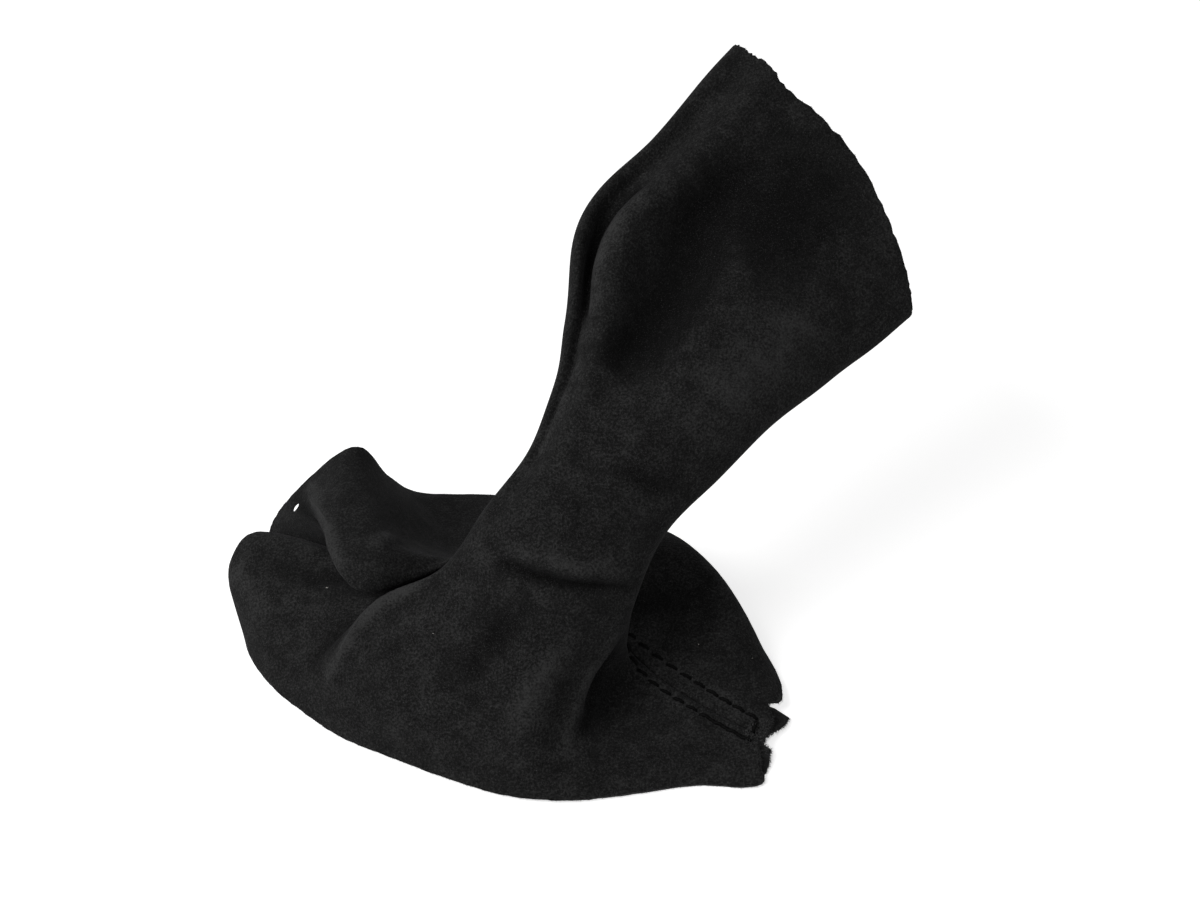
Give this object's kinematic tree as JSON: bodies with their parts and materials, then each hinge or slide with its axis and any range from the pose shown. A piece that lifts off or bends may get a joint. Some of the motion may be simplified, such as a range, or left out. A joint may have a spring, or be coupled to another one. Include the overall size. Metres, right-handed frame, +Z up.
{
  "type": "gear lever gaiter",
  "caption": "Black suede gear lever gaiter: a panel rolled to a tube with a topstitched seam, a wide flattened mouth, a narrow neck and a flared skirt lying in soft folds",
  "frame": {"origin": "on the table, under the middle of the part's overall box", "axes": "+Z is up from the table. +X is to the right in the picture, the side where the seam meets the hem, and +Y is away from the camera. The neck leans towards +X and +Y."},
  "size_m": [0.2274, 0.1918, 0.1594],
  "materials": {
    "suede": "matt black suede with a short soft nap, fuzzy at its cut edges",
    "thread": "black twisted sewing thread with a slight sheen"
  },
  "bodies": {
    "root": {"gaiter_panel": "suede", "topstitch_needle_thread": "thread", "topstitch_bobbin_thread": "thread", "closing_seam_thread": "thread"}
  },
  "joints": []
}
